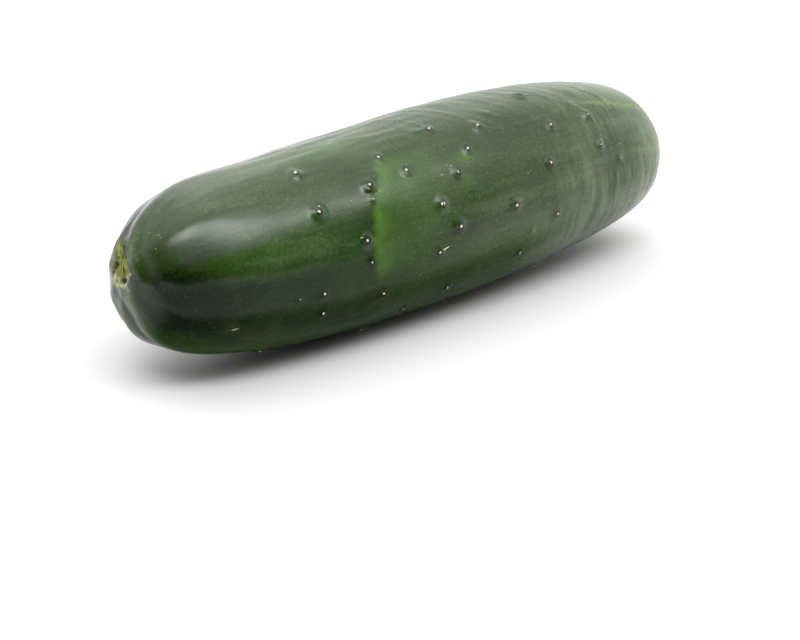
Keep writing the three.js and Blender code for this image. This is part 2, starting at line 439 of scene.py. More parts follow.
def scar_share(across, up):
    """How far out of the stem scar's middle a point is, as a share of the way to its edge."""
    high = (up - SCAR_UP) / SCAR_HALF_HEIGHT
    middle = SCAR_ACROSS + SCAR_LEAN * (up - SCAR_UP)
    wide = (across - middle) / (SCAR_HALF_WIDTH * (1 - SCAR_NARROWING * high))
    a = np.arctan2(wide, high)
    wavy = 0.6 * np.sin(3 * a) + 0.4 * np.sin(7 * a + 1)
    return np.hypot(wide, high) / (1 + SCAR_RAGGED * wavy)


def hollow(share, depth):
    """A dip that is deepest in its middle and ends where the share is 1."""
    return np.where(share < 1, depth * (1 - share**3), 0)


def skin(q, angle, shape):
    """Points of the skin without its warts, in mm."""
    fruit_length = shape.length / MM
    station = (q + 1) * fruit_length / 2
    share = cap_share(q)
    turned = np.radians(angle)
    corners = 1 + CORNER_SHARE * np.cos(3 * turned)
    radius = belly_radius(q, shape) * share * corners + rib_height(station, angle) * share
    rise = hump(station, *STEM_RISE)
    scar_rise = np.where(q < 0, SCAR_RISE * (1 - share) ** 2, 0)
    lift = SWAY * np.sin(np.pi * q) + BOW * (q * q - 1 / 3) + rise + scar_rise
    up = radius * np.cos(turned)
    lean = LEAN_SHARE * up * bell(station, LEAN_REACH)
    across = -radius * np.sin(turned)
    stem_scar = hollow(scar_share(across, lift + up), SCAR_DEPTH)
    blossom_scar = -hollow(radius / BLOSSOM_SCAR_RADIUS, BLOSSOM_SCAR_DEPTH)
    along = q * fruit_length / 2 + lean + np.where(q < 0, stem_scar, blossom_scar)
    return np.stack([along, across, shape.axis_height / MM + lift + up], -1)


def place_of(station, shape):
    return 2 * station * MM / shape.length - 1


def outward(q, angle, shape):
    """The skin's outward direction, from two short steps along it."""
    step, turned = SHORT_STEPS
    along = skin(q + step, angle, shape) - skin(q - step, angle, shape)
    across = skin(q, angle + turned, shape) - skin(q, angle - turned, shape)
    direction = -np.cross(along, across)
    return direction / np.linalg.norm(direction, axis=-1, keepdims=True)


def draws(seed):
    """A repeatable draw from -1 to 1, as the solid's warts use."""
    state = seed
    while True:
        state = state * DRAW_FACTOR % DRAW_LIMIT
        yield 2 * state / DRAW_LIMIT - 1


def back_warts():
    """Rows of warts round the back: station, angle and size."""
    draw = draws(SEED)
    sizes = list(WART_SIZES)
    warts = []
    for row, row_angle in enumerate(np.linspace(*BACK_ROWS)):
        station = ROW_START + row % 2 * ROW_STEP / 2
        while station <= ROW_END:
            place = station + STATION_SCATTER * next(draw)
            angle = row_angle + ANGLE_SCATTER * next(draw)
            warts.append((place, angle, sizes[int(1.5 * (next(draw) + 1))]))
            station += ROW_STEP
    return warts


def stands_clear(wart, shape):
    """A wart that the fruit would stand on is pressed flat, so it is left out."""
    station, angle, size = wart[:3]
    q = np.array(place_of(station, shape))
    reach = WART_SIZES[size][1] + STUB_HEIGHT
    return (skin(q, angle, shape) + reach * outward(q, angle, shape))[2] > CLEARANCE


def all_warts(shape):
    """Every wart's size, stub's kind, centre on the skin and outward direction."""
    warts = FRONT_WARTS + [w for w in back_warts() if stands_clear(w, shape)]
    places = np.array([place_of(w[0], shape) for w in warts])
    angles = np.array([w[1] for w in warts], float)
    kinds = [w[3] if len(w) > 3 else "round" for w in warts]
    sizes = [w[2] for w in warts]
    return sizes, kinds, skin(places, angles, shape), outward(places, angles, shape)


# ------------------------------------------------------------------ meshes


def deselect_all():
    if bpy.context.object and bpy.context.object.mode != "OBJECT":
        bpy.ops.object.mode_set(mode="OBJECT")
    bpy.ops.object.select_all(action="DESELECT")


def rows_of(items, key):
    """A vector of each item, such as each vertex's place."""
    flat = np.zeros(len(items) * 3)
    items.foreach_get(key, flat)
    return flat.reshape(-1, 3)


def move_vertices(mesh, points):
    mesh.vertices.foreach_set("co", points.ravel())
    mesh.update()


def store(mesh, name, values):
    """Keeps a number, or a vector, for each vertex as an attribute."""
    kind, key = ("FLOAT", "value") if values.ndim == 1 else ("FLOAT_VECTOR", "vector")
    attribute = mesh.attributes.new(name, kind, "POINT")
    attribute.data.foreach_set(key, values.astype(np.float32).ravel())


def waves(points, layers):
    """Smooth noise in layers, whose lumps are as large as their sizes."""
    total = 0
    for height, size, seed in layers:
        scaled = points / np.array(size) + seed
        total = total + height * np.array([noise.noise(Vector(p)) for p in scaled])
    return total


def place_table(shape):
    """How far round the starting sphere, 0 to 1, each place along the fruit lies."""
    q = -np.cos(np.linspace(0, np.pi, PLACE_STEPS))
    radius = belly_radius(q, shape) * cap_share(q)
    step = np.hypot(np.diff(q * shape.length / MM / 2), np.diff(radius))
    arc = np.concatenate([[0], np.cumsum(step)])
    crowding = 1 + STEM_CROWDING * bell(arc, STEM_CROWDED)
    share = np.concatenate([[0], np.cumsum(step * crowding[1:])])
    return share / share[-1], q


def sphere_places(mesh, table):
    """The place along the fruit and the angle round it of each vertex of the sphere."""
    points = rows_of(mesh.vertices, "co")
    points /= np.linalg.norm(points, axis=1, keepdims=True)
    polar = np.arccos(np.clip(points[:, 2], -1, 1)) / np.pi
    angle = -np.degrees(np.arctan2(points[:, 1], points[:, 0]))
    return np.interp(polar, *table), angle


def nearest_wart(points, centres):
    """Each point's distance to its nearest wart, and which one that is."""
    best = np.full(len(points), np.inf)
    which = np.zeros(len(points), int)
    for i, centre in enumerate(centres):
        distance = np.linalg.norm(points - centre, axis=1)
        closer = distance < best
        best[closer] = distance[closer]
        which[closer] = i
    return best, which


def subdivide_near(fruit, table, centres, shape, reach):
    """Splits the sphere's faces that will lie within reach of a wart."""
    mesh = fruit.data
    q, angle = sphere_places(mesh, table)
    distance, _ = nearest_wart(skin(q, angle, shape), centres)
    near = distance < reach
    corners = np.zeros(len(mesh.loops), int)
    mesh.loops.foreach_get("vertex_index", corners)
    starts = np.zeros(len(mesh.polygons), int)
    mesh.polygons.foreach_get("loop_start", starts)
    chosen = np.logical_or.reduceat(near[corners], starts)
    mesh.polygons.foreach_set("select", chosen)
    bpy.ops.object.mode_set(mode="EDIT")
    bpy.ops.mesh.select_mode(type="FACE")
    bpy.ops.mesh.subdivide(number_cuts=1, ngon=False)
    bpy.ops.object.mode_set(mode="OBJECT")


def clear_selection(mesh):
    for domain in (mesh.vertices, mesh.edges, mesh.polygons):
        domain.foreach_set("select", np.zeros(len(domain), bool))


def wart_relief(points, distance, which, sizes, pitted, shape):
    """Height of the mounds, with an uneven ring sunk round each stub."""
    radius = np.array([WART_SIZES[s][0] for s in sizes])[which]
    height = np.array([WART_SIZES[s][1] for s in sizes])[which]
    mound = np.where(distance < radius, height * (0.5 + 0.5 * np.cos(np.pi * distance / radius)), 0)
    uneven = np.clip(PIT_SHARE + waves(points, PIT_WAVES), *PIT_LIMITS)
    sunk = uneven * bell(distance - PIT_RADIUS, PIT_HALF_WIDTH)
    return mound - shape.pit / MM * sunk * pitted


def crease_relief(station, angle):
    """Fine raised lines that run between the warts."""
    relief = np.zeros(len(station))
    for line in CREASES:
        wavy = angle + CREASE_SWAY * np.sin(station / CREASE_WAVE)
        places = np.stack([station, MM_PER_DEGREE * wavy], -1)
        flat_line = [(at, MM_PER_DEGREE * at_angle) for at, at_angle in line]
        relief = np.maximum(relief, bell(distance_from(flat_line, places), CREASE_HALF_WIDTH))
    return CREASE_HEIGHT * relief


def distance_from(line, places):
    """How far each place, of two values, is from a line through points."""
    best = np.full(len(places), np.inf)
    for start, end in zip(line, line[1:]):
        start, step = np.array(start), np.array(end) - np.array(start)
        from_start = places - start
        share = np.clip(from_start @ step / (step @ step), 0, 1)
        best = np.minimum(best, np.linalg.norm(from_start - share[:, None] * step, axis=1))
    return best


def fold_relief(station, across, up):
    """The folds that run out from the scar, and where they are furrows, from 0 to 1."""
    places = np.stack([across, up], -1)
    relief, furrow = np.zeros(len(station)), np.zeros(len(station))
    for line, half_width, height in FOLDS:
        near = bell(distance_from(line, places), half_width)
        relief += height * near
        if height < 0:
            furrow = np.maximum(furrow, near)
    fade = 1 - smooth_step(*FOLD_REACH, station)
    return relief * fade, furrow * fade


def ripple_relief(flow, station, shape):
    """Slow waves all over the skin, slight by the stem."""
    grown = RIPPLE_LEAST + (1 - RIPPLE_LEAST) * smooth_step(*RIPPLES_GROW, station)
    return shape.ripple / MM * waves(flow, RIPPLES) * grown


def wrinkle_relief(flow, station, angle, shape):
    """Wrinkles across the blossom half, deeper low on the camera's side."""
    bent = flow + waves(flow, WRINKLE_BENDS)[:, None] * np.array((1, 0, 0))
    depth = WRINKLE_LEAST + WRINKLE_MORE * round_at(angle, *DEEP_WRINKLES)
    depth *= smooth_step(*WRINKLES_GROW, station)
    return shape.wrinkle / MM * depth * waves(bent, WRINKLES)


def oblique_relief(station, angle):
    """Slanting waves over the top of the fruit, between the creases."""
    around = MM_PER_DEGREE * angle
    slanted = np.stack([station - around, station + around, 0 * station], -1)
    shown = between(*OBLIQUE_STRETCH, station) * round_at(angle, *OBLIQUE_ROUND)
    return shown * waves(slanted, OBLIQUES)


def top_streaks(flow, station, angle):
    """Waves that run along the top, slight by the stem and stronger past a quarter of the way."""
    grown = STREAK_LEAST + (1 - STREAK_LEAST) * smooth_step(*STREAKS_GROW, station)
    shown = between(*STREAK_STRETCH, station) * round_at(angle, *STREAK_ROUND)
    return shown * grown * waves(flow, STREAKS)


def spot(across, up, middle_across, middle_up, half_width, half_height):
    """A soft oval spot on the scar: 1 in its middle, 0 outside."""
    return bell(np.hypot((across - middle_across) / half_width, (up - middle_up) / half_height), 1)


def scar_masks(points, share, up):
    """Where the scar is torn, holed, bright or pale, each from 0 to 1."""
    across = points[:, 1]
    places = np.stack([across, up], -1)

    def near(line, half_width):
        return bell(distance_from(line, places), half_width)

    ragged = share + waves(points, EDGE_WAVES)
    torn = 1 - smooth_step(*TORN_FADES, ragged)
    torn = np.clip(torn + PRONG_STRENGTH * near(*SCAR_PRONG) * (share < PRONG_END), 0, 1)
    torn *= 1 - np.clip(TONGUE_STRENGTH * near(*SCAR_TONGUE), 0, 1)
    hole = np.zeros(len(points))
    for line, half_width, depth in SCAR_SLITS:
        hole = np.maximum(hole, depth * near(line, half_width))
    hole *= np.clip(1 + waves(points, HOLE_WAVES), *HOLE_LIMITS)
    pale = bell(ragged - 1, LIP_HALF_WIDTH) * (1 - smooth_step(*LIP_FADES, up))
    for place in SCAR_PALE:
        pale = np.maximum(pale, SCAR_PALENESS * spot(across, up, *place))
    pale *= 1 - np.clip(hole, 0, 1)
    return torn, hole, spot(across, up, *SCAR_BRIGHT), pale


def torn_relief(points, share, masks):
    """Torn fibres and holes in the scar, a ragged lip, and a smooth collar round it."""
    torn, hole, _, pale = masks
    fibres = waves(points, FIBRES)
    lip = pale * (LIP_HEIGHT + waves(points, LIP_WAVES))
    rings = hump(share, *COLLAR) + hump(share, *MOAT)
    rings *= 1 - smooth_step(*COLLAR_FADES, points[:, 1])
    return torn * (fibres - TORN_SINK - HOLE_SINK * hole) + lip + rings


class CUCUMBER_OT_skin(bpy.types.Operator):
    """Add the fruit's skin, with its ribs, warts, ripples and torn stem scar"""

    bl_idname = "cucumber.skin"
    bl_label = "Skin"

    def execute(self, context):
        shape = context.scene.cucumber_shape
        sizes, kinds, centres, _ = all_warts(shape)
        fruit, q, angle = self.add_sphere(context, centres, shape)
        mesh = fruit.data
        base = skin(q, angle, shape)
        move_vertices(mesh, base)
        normals = rows_of(mesh.vertex_normals, "vector")

        station = (q + 1) * shape.length / MM / 2
        radius = belly_radius(q, shape) * cap_share(q)
        turned = np.radians(angle)
        flow = np.stack([station, radius * np.cos(turned), radius * np.sin(turned)], -1)
        distance, which = nearest_wart(base, centres)
        pitted = np.array([kind not in UNPITTED for kind in kinds])[which]
        up = base[:, 2] - shape.axis_height / MM
        by_scar = np.minimum(scar_share(base[:, 1], up), FAR_FROM_SCAR)
        on_cap = station < SCAR_ZONE
        by_scar = np.where(on_cap, by_scar, FAR_FROM_SCAR)
        masks = [mask * on_cap for mask in scar_masks(base, by_scar, up)]
        folds, furrow = fold_relief(station, base[:, 1], up)

        relief = ripple_relief(flow, station, shape) + wrinkle_relief(flow, station, angle, shape)
        relief += oblique_relief(station, angle) + top_streaks(flow, station, angle)
        relief = relief * smooth_step(*SKIN_BY_SCAR, by_scar) + crease_relief(station, angle)
        relief += folds * smooth_step(*FOLDS_BY_SCAR, by_scar)
        relief += wart_relief(base, distance, which, sizes, pitted, shape)
        relief += torn_relief(base, by_scar, masks)
        points = base + normals * relief[:, None]
        points[:, 2] = np.maximum(points[:, 2], 0)
        move_vertices(mesh, points * MM)

        store(mesh, "flow", flow * MM)
        self.store_wear(mesh, station, angle)
        halo = bell(distance - PIT_RADIUS, HALO_HALF_WIDTH)
        halo = np.maximum(halo, hump(distance, *FAINT_HALO))
        store(mesh, "halo", halo * pitted)
        for name, mask in zip(("torn", "hole", "bright", "lip"), masks):
            store(mesh, name, mask)
        # Painted sheen: the collar's green is made paler
        painted_collar_sheen = hump(by_scar, *COLLAR_PAINTED_SHEEN)
        painted_collar_sheen *= 1 - smooth_step(*COLLAR_SHEEN_FADES, base[:, 1])
        # The tone holds painted shade in the fold furrows and a painted sheen on the collar
        store(mesh, "tone", tone_of(station, angle) - FURROW_PAINTED_SHADE * furrow + painted_collar_sheen)
        in_blossom_scar = 1 - smooth_step(*BLOSSOM_SCAR_FADES, radius / BLOSSOM_SCAR_RADIUS)
        store(mesh, "blossom", np.where(q > 0, in_blossom_scar, 0))
        bpy.ops.object.shade_smooth()
        mesh.materials.clear()
        mesh.materials.append(waxy_cucumber_skin(context.scene.cucumber_colours))
        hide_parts(NODE)
        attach(fruit, BODY)
        return {"FINISHED"}

    def add_sphere(self, context, centres, shape):
        """A sphere, finer by the warts, and each vertex's place along and angle round the fruit."""
        deselect_all()
        bpy.ops.mesh.primitive_uv_sphere_add(segments=SIDES, ring_count=RINGS, radius=1)
        fruit = context.object
        fruit.name = "cucumber_skin"
        table = place_table(shape)
        for reach in SPLIT_ZONES:
            clear_selection(fruit.data)
            subdivide_near(fruit, table, centres, shape, reach)
        return fruit, *sphere_places(fruit.data, table)

    def store_wear(self, mesh, station, angle):
        """Keeps where the skin is wrinkled, pored, yellower, striped and dull."""
        low_down = WEAR_LEAST + WEAR_MORE * round_at(angle, *LOW_WEAR)
        store(mesh, "wrinkled", smooth_step(*WRINKLES_GROW, station) * low_down)
        store(mesh, "pored", smooth_step(*PORES_GROW, station))
        store(mesh, "patch", patch_share(station, angle))
        store(mesh, "stripe", stripe_share(station, angle))
        store(mesh, "dull", dull_share(station, angle))


# Where the pores come in, and where the cross streaks of colour are strongest round the fruit
PORES_GROW = (62, 84)
LOW_WEAR = (100, 22)
WEAR_LEAST = 0.35
WEAR_MORE = 0.75

# The yellower patch: the angles and stations of its sharp edge towards the stem
PATCH_EDGE = ((24, 77), (39, 75), (50.5, 70.8), (62, 67.4), (74, 66.2), (86, 65.3), (98, 66))
PATCH_RIM = (1.8, 3.6, 0.64)  # its brightest line: mm past the edge, half-width, amount
PATCH_GROWS = (-1.2, 1.4)
PATCH_FADE = (8, 38)
PATCH_ANGLES = ((24, 36), (86, 104))
# Lesser yellow-green patches: station, angle, half-length, half-width in mm, amount
YELLOW_SPOTS = [
    (68, 9, 9, 3, 0.62),
    (74, 20, 7, 2.5, 0.3),
    (107.5, 44, 4, 1.8, 0.75),
    (104, 57, 2.5, 2, 0.5),
    (33, 66, 16, 3, 0.25),
    (116, 102, 22, 5, 0.2),
]

# Where the wax is dull, low on the camera's side: angles that it grows between, stations that
# it fades between, amount
DULL = [
    ((74, 86), (78, 106), 0.5),
    ((94, 110), (122, 158), 0.9),
]
DULL_ENDS = (150, 215)
DULL_STARTS = (0.5, 6)
# A duller spot by the stem, over the top: as the spots above
DULL_SPOTS = [(8, -32, 7, 10, 0.9)]

# How light the green is (0 deep, 1 pale), and the bands along the fruit that change it:
# angle, half-width, from and to station, change. The dark bands at 88 degrees and lower
# are painted shade on the lower flank and underside
TONE = 0.5
BAND_FADE = 9
BANDS = [
    (72, 2.5, 14, 64, 0.12),
    (64, 6, 16, 60, 0.1),
    # Painted shade: the next three bands darken the lower flank and the underside
    (88, 9, -10, 62, -0.22),
    (102, 14, -10, 78, -0.25),
    (124, 14, -10, 120, -0.15),
    (30, 14, 72, 130, -0.1),
    (8, 9, 15, 100, 0.1),
    (66, 20, 86, 150, 0.1),
    (84, 26, 146, 166, 0.24),
    (104, 12, 130, 200, 0.28),
    (5, 22, 150, 220, 0.2),
    # Painted shade on the lower flank
    (88, 11, 66, 108, -0.16),
    (205, 14, 20, 120, 0.15),
    (262, 12, 60, 190, -0.15),
    (318, 10, 15, 90, 0.15),
]
# The ends: painted shade that darkens the green low by the stem (station, half-length, amount), and
# paler by the blossom
STEM_PAINTED_SHADE = (6, 15, 0.5)
STEM_PAINTED_SHADE_ROUND = (85, 40)
BLOSSOM_PALE = (166, 200)
BLOSSOM_PALENESS = 0.5

# Pale stripes that meet at the blossom end: angle at the tip, where it starts, strength
STRIPES = [
    (38, 168, 0.75),
    (78, 184, 0.8),
    (118, 172, 0.6),
    (155, 176, 0.8),
    (196, 164, 0.9),
    (236, 172, 0.7),
    (274, 160, 1.0),
    (315, 170, 0.8),
    (355, 178, 0.5),
]
STRIPE_SLANT = 0.3  # degrees a mm, round the fruit
STRIPE_HALF_WIDTH = 2.4  # degrees
STRIPE_TIP = 200  # the station that the angles are for
STRIPES_WIDEN = (185, 205)
STRIPE_FADE = (-12, 16)  # from where it starts

# Creamier spots at the blossom tip: station, angle, half-length, half-width in mm, amount
TIP_SPOTS = [(201, 44, 4, 4, 1), (196, 69, 3, 2.5, 0.7)]


def spots_share(spots, station, angle):
    """The strongest of some soft oval spots at a place on the skin."""
    share = np.zeros(len(station))
    for at, at_angle, half_length, half_width, amount in spots:
        around = MM_PER_DEGREE * turn(at_angle, angle)
        away = np.hypot((station - at) / half_length, around / half_width)
        share = np.maximum(share, amount * bell(away, 1))
    return share


def patch_share(station, angle):
    """How much of the yellower patches shows at a place on the skin."""
    edge_angles, edge_stations = np.array(PATCH_EDGE).T
    past = station - np.interp(angle, edge_angles, edge_stations)
    past = past + 0.45 * np.sin(angle / 3.7) + 0.25 * np.sin(angle / 1.3)
    rim = hump(past, *PATCH_RIM)
    rest = (1 - PATCH_RIM[2]) * (1 - smooth_step(*PATCH_FADE, past))
    share = smooth_step(*PATCH_GROWS, past) * (rim + rest) * between(*PATCH_ANGLES, angle)
    return np.maximum(share, spots_share(YELLOW_SPOTS, station, angle))


def dull_share(station, angle):
    """How dull the wax is, low on the side that lay on the soil."""
    angle = angle % 360
    share = np.zeros(len(station))
    for angles, stations, amount in DULL:
        here = amount * smooth_step(*angles, angle) * (1 - smooth_step(*stations, station))
        share = np.maximum(share, here)
    share = share * (1 - smooth_step(*DULL_ENDS, angle)) * smooth_step(*DULL_STARTS, station)
    return np.maximum(share, spots_share(DULL_SPOTS, station, angle))


def tone_of(station, angle):
    """How light the green is, from 0 to 1, before the fine pattern, with painted shade low on the
    camera's side and by the stem.
    """
    tone = np.full(len(station), TONE)
    for at, half_width, start, end, change in BANDS:
        rise, fall = ((edge - BAND_FADE, edge + BAND_FADE) for edge in (start, end))
        tone += change * between(rise, fall, station) * round_at(angle, at, half_width)
    # Painted shade, low on the camera's side by the stem
    dark = hump(station, *STEM_PAINTED_SHADE) * round_at(angle, *STEM_PAINTED_SHADE_ROUND)
    return tone - dark + BLOSSOM_PALENESS * smooth_step(*BLOSSOM_PALE, station)


def stripe_share(station, angle):
    """Pale stripes that run along the fruit and meet at the blossom end."""
    stripes = np.zeros(len(station))
    for at, start, strength in STRIPES:
        line = at + STRIPE_SLANT * (station - STRIPE_TIP)
        wide = STRIPE_HALF_WIDTH * (1 + smooth_step(*STRIPES_WIDEN, station))
        shown = strength * smooth_step(start + STRIPE_FADE[0], start + STRIPE_FADE[1], station)
        stripes = np.maximum(stripes, shown * round_at(angle, line, wide))
    return np.maximum(stripes, spots_share(TIP_SPOTS, station, angle))


def surface_tree(piece):
    """The piece's faces, for finding where a line meets it."""
    mesh = piece.data
    corners = [tuple(face.vertices) for face in mesh.polygons]
    return BVHTree.FromPolygons([v.co for v in mesh.vertices], corners)


class CUCUMBER_OT_stubs(bpy.types.Operator):
    """Add the dry stub of a worn spine to each wart, and the small pale specks"""

    bl_idname = "cucumber.stubs"
    bl_label = "Spine stubs"

    def execute(self, context):
        shape = context.scene.cucumber_shape
        tree = surface_tree(bpy.data.objects["cucumber_skin"])
        deselect_all()
        bpy.ops.mesh.primitive_uv_sphere_add(radius=0.5, **STUB_FACES)
        pattern = context.object
        points = rows_of(pattern.data.vertices, "co")
        points[:, 2] *= np.where(points[:, 2] > 0, STUB_DOME, 1)
        move_vertices(pattern.data, points)
        copies = []

        def add_copy(centre, direction, size, spin, sink, age):
            """Seats a copy of the stub on the skin, sunk by a share of its height."""
            start = Vector(centre + SEEK_FROM * direction) * MM
            seat = tree.ray_cast(start, -Vector(direction))[0]
            around = np.cross(direction, (1, 0, 0))
            around /= np.linalg.norm(around)
            along = np.cross(around, direction)
            aim = Matrix((along, around, direction)).transposed().to_4x4()
            place = Matrix.Translation(seat) @ aim @ Matrix.Rotation(spin, 4, "Z")
            offset = Matrix.Translation((0, 0, -sink * size[2] * MM))
            scale = Matrix.Diagonal((*(MM * value for value in size), 1))
            copy = pattern.data.copy()
            copy.transform(place @ offset @ scale)
            store(copy, "age", np.full(len(copy.vertices), age))
            stub = bpy.data.objects.new("spine_stub", copy)
            context.collection.objects.link(stub)
            copies.append(stub)

        draw = draws(SEED + 1)
        for size, kind, centre, direction in zip(*all_warts(shape)):
            width = shape.stub / MM * (WART_SIZES[size][0] / WART_SIZES["large"][0])
            stretch = 1 + STUB_STRETCH * next(draw)
            spin = np.pi * next(draw) if kind == "round" else 0
            for offset, length_share, width_share in STUB_KINDS[kind]:
                part = (width * length_share * stretch, width * width_share / stretch, width)
                middle = centre + np.array((width * offset, 0, 0))
                age = STUB_AGE * (1 + next(draw))
                add_copy(middle, direction, part, spin, STUB_SINK, age)
        for station, angle, long, wide, turned, age in SPECKS:
            q, a = np.array(place_of(station, shape)), np.array(float(angle))
            part = (long, wide, SPECK_HEIGHT)
            centre, direction = skin(q, a, shape), outward(q, a, shape)
            add_copy(centre, direction, part, -np.radians(turned), SPECK_SINK, age)
        bpy.data.objects.remove(pattern)
        for stub in copies:
            stub.select_set(True)
        context.view_layer.objects.active = copies[0]
        bpy.ops.object.join()
        stubs = context.object
        stubs.name = "spine_stubs"
        bpy.ops.object.shade_smooth()
        stubs.data.materials.clear()
        stubs.data.materials.append(dry_spine_stub(context.scene.cucumber_colours))
        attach(stubs, BODY)
        return {"FINISHED"}


# ------------------------------------------------------------------ materials


def add_node(tree, kind, inputs=None, **settings):
    """Adds a node with its settings; an input is given a value or linked to a socket.

    Most functions below add one too, and take its tree from a socket that they link.
    """
    node = tree.nodes.new(kind)
    for name, value in settings.items():
        setattr(node, name, value)
    for name, value in (inputs or {}).items():
        if isinstance(value, bpy.types.NodeSocket):
            tree.links.new(value, node.inputs[name])
        else:
            node.inputs[name].default_value = value
    return node


def new_material(name):
    material = bpy.data.materials.new(name)
    material.use_nodes = True
    material.node_tree.nodes.clear()
    return material, material.node_tree


def add_shader(tree, inputs):
    """Adds a material's shader and its output."""
    shader = add_node(tree, "ShaderNodeBsdfPrincipled", inputs)
    add_node(tree, "ShaderNodeOutputMaterial", {"Surface": shader.outputs["BSDF"]})


def kept_value(tree, name, kind="Fac"):
    """A value, or a vector, that the mesh keeps for each vertex."""
    return add_node(tree, "ShaderNodeAttribute", attribute_name=name).outputs[kind]


def noise_at(vector, millimetres, detail=3, roughness=0.5):
    """Noise whose lumps are as large as the sizes given, in mm."""
    sizes = {"Vector": vector, "Scale": [1 / (size * MM) for size in millimetres]}
    sized = add_node(vector.id_data, "ShaderNodeMapping", sizes).outputs["Vector"]
    settings = {"Vector": sized, "Scale": 1, "Detail": detail, "Roughness": roughness}
    return add_node(vector.id_data, "ShaderNodeTexNoise", settings).outputs["Fac"]


def cells_at(vector, spacing):
    """Each place's distance from the middle of its cell; the spacing of the cells is in mm."""
    settings = {"Vector": vector, "Scale": 1 / (spacing * MM)}
    node = add_node(vector.id_data, "ShaderNodeTexVoronoi", settings, feature="F1")
    return node.outputs["Distance"]


def spread(value, low, high, to_low=0, to_high=1, soft=False):
    """Maps a value between two limits to two others."""
    inputs = {0: value, 1: low, 2: high, 3: to_low, 4: to_high}
    kind = "SMOOTHSTEP" if soft else "LINEAR"
    node = add_node(value.id_data, "ShaderNodeMapRange", inputs, interpolation_type=kind)
    return node.outputs["Result"]


def combine(operation, first, second):
    inputs = {0: first, 1: second}
    node = add_node(first.id_data, "ShaderNodeMath", inputs, operation=operation)
    return node.outputs["Value"]


def times(first, second):
    return combine("MULTIPLY", first, second)


def mix(share, first, second):
    """A value part of the way from one to another."""
    inputs = {0: share, 2: first, 3: second}
    return add_node(share.id_data, "ShaderNodeMix", inputs, data_type="FLOAT").outputs[0]


def blend(share, first, second):
    """A colour part of the way from one to another."""
    inputs = {0: share, 6: first, 7: second}
    return add_node(share.id_data, "ShaderNodeMix", inputs, data_type="RGBA").outputs[2]


def bump(height, strength, millimetres):
    """Fine relief that only the shading has."""
    settings = {"Height": height, "Strength": strength, "Distance": millimetres * MM}
    return add_node(height.id_data, "ShaderNodeBump", settings).outputs["Normal"]


# What the skin keeps for each vertex, from 0 to 1
SKIN_SHARES = "tone wrinkled pored halo patch stripe torn hole bright lip blossom dull".split()
PORE_SPACING = 1.15
SPECK_SPACING = 4.2


def torn_flesh(colours, fibre, share):
    """The scar's colour: soft fibres, fresh flesh in the middle, and brown holes."""
    flesh = add_node(fibre.id_data, "ShaderNodeValToRGB", {"Fac": fibre})
    stops = flesh.color_ramp.elements
    stops.new(0.5)
    tints = (colours.torn_dark, colours.torn, colours.torn_light)
    for stop, position, tint in zip(stops, (0.34, 0.5, 0.66), tints):
        stop.position = position
        stop.color = tint
    fresh = times(share["bright"], 0.7)
    flesh = blend(fresh, flesh.outputs["Color"], colours.torn_bright)
    return blend(spread(share["hole"], 0.15, 0.5), flesh, colours.torn_hole)


